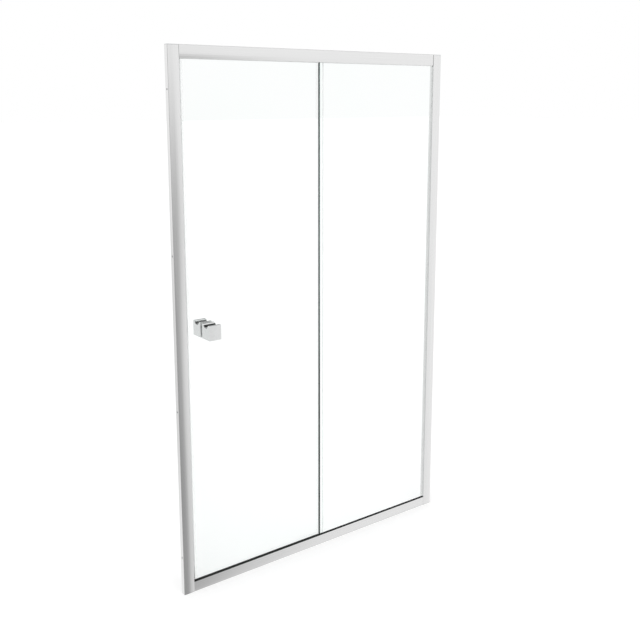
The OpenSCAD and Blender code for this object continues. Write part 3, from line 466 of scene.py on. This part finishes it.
def ray_paths(tree):
    """Whether a ray is seen straight or through glass, and whether a metal mirrors it."""
    path = add(tree, "ShaderNodeLightPath")
    straight = add(tree, "ShaderNodeMath", {0: path.outputs["Is Camera Ray"],
                                            1: path.outputs["Is Transmission Ray"]},
                   operation="MAXIMUM")
    by_metal = add(tree, "ShaderNodeMath", {0: path.outputs["Glossy Depth"], 1: 0.5},
                   operation="GREATER_THAN")
    return straight.outputs[0], by_metal.outputs[0]


def cloth_shade(tree, way, bearing, height, shades):
    """The shade that one cloth gives the room in the direction way."""
    toward = add(tree, "ShaderNodeVectorMath", {0: way, 1: heading(bearing, height)},
                 operation="DOT_PRODUCT")
    away = add(tree, "ShaderNodeMath", {0: toward.outputs["Value"]}, operation="ARCCOSINE")
    share = add(tree, "ShaderNodeMath", {0: away.outputs[0], 1: radians(WIDEST)},
                operation="DIVIDE")
    cloth = add(tree, "ShaderNodeValToRGB", {"Fac": share.outputs[0]})
    ramp = cloth.color_ramp
    ramp.interpolation = "EASE"
    while len(ramp.elements) < len(shades):
        ramp.elements.new(1.0)
    for stop, (distance, shade) in zip(ramp.elements, shades):
        stop.position = distance / WIDEST
        stop.color = linear(shade)
    return cloth.outputs["Color"]


def studio():
    """A white room with a soft overhead lamp and a few dim cloths that the metal mirrors."""
    world = bpy.data.worlds.new("white_room")
    world.use_nodes = True
    tree = world.node_tree
    tree.nodes.clear()
    way = add(tree, "ShaderNodeTexCoord").outputs["Generated"]
    mirrored_colour = linear("#FFFFFF")
    for (bearing, height), shades in CLOTHS:
        shade = cloth_shade(tree, way, bearing, height, shades)
        dimmed = add(tree, "ShaderNodeMix", {"Factor": 1.0, MIX_FIRST: mirrored_colour,
                                             MIX_SECOND: shade},
                     data_type="RGBA", blend_type="MULTIPLY")
        mirrored_colour = dimmed.outputs[MIX_RESULT]
    seen = add(tree, "ShaderNodeBackground", {"Color": linear("#FFFFFF"), "Strength": 1.0})
    mirrored = add(tree, "ShaderNodeBackground", {"Color": mirrored_colour, "Strength": 1.0})
    falling = add(tree, "ShaderNodeBackground", {"Color": linear("#FFFFFF"),
                                                 "Strength": ROOM_STRENGTH})
    straight, by_metal = ray_paths(tree)
    plain = add(tree, "ShaderNodeMixShader", {0: straight, 1: falling.outputs[0],
                                              2: seen.outputs[0]})
    room = add(tree, "ShaderNodeMixShader", {0: by_metal, 1: plain.outputs[0],
                                             2: mirrored.outputs[0]})
    add(tree, "ShaderNodeOutputWorld", {"Surface": room.outputs[0]})
    bpy.context.scene.world = world

    lamp = bpy.data.lights.new("overhead_softbox", "SUN")
    lamp.energy = LAMP_STRENGTH
    lamp.angle = radians(LAMP_WIDTH)
    overhead = bpy.data.objects.new("overhead_softbox", lamp)
    overhead.rotation_euler = Vector(LAMP_AIM).to_track_quat("-Z", "Y").to_euler()
    bpy.context.scene.collection.objects.link(overhead)


def floor(drop):
    """A plain pale floor that keeps the door's shadow, drop mm below the sill so that both show."""
    shape = bmesh.new()
    bmesh.ops.create_grid(shape, x_segments=1, y_segments=1, size=FLOOR_REACH)
    bmesh.ops.translate(shape, vec=(0, 0, -drop * MM), verts=shape.verts)
    mesh = bpy.data.meshes.new("floor")
    shape.to_mesh(mesh)
    shape.free()
    material, tree, output = blank_material("pale_floor")
    straight, by_metal = ray_paths(tree)
    glow = add(tree, "ShaderNodeEmission", {"Color": linear("#FFFFFF"), "Strength": FLOOR_GLOW})
    matt = add(tree, "ShaderNodeBsdfDiffuse", {"Color": linear("#F2F2F2")})
    both = add(tree, "ShaderNodeAddShader", {0: matt.outputs[0], 1: glow.outputs[0]})
    shown = add(tree, "ShaderNodeMixShader", {0: straight, 1: matt.outputs[0],
                                              2: both.outputs[0]})
    gone = add(tree, "ShaderNodeBsdfTransparent")
    unmirrored = add(tree, "ShaderNodeMixShader", {0: by_metal, 1: shown.outputs[0],
                                                   2: gone.outputs[0]})
    tree.links.new(unmirrored.outputs[0], output.inputs["Surface"])
    mesh.materials.append(material)
    ground = bpy.data.objects.new("floor", mesh)
    bpy.context.scene.collection.objects.link(ground)


studio()
floor(drop=0.5)
bpy.context.scene.view_settings.view_transform = "Standard"
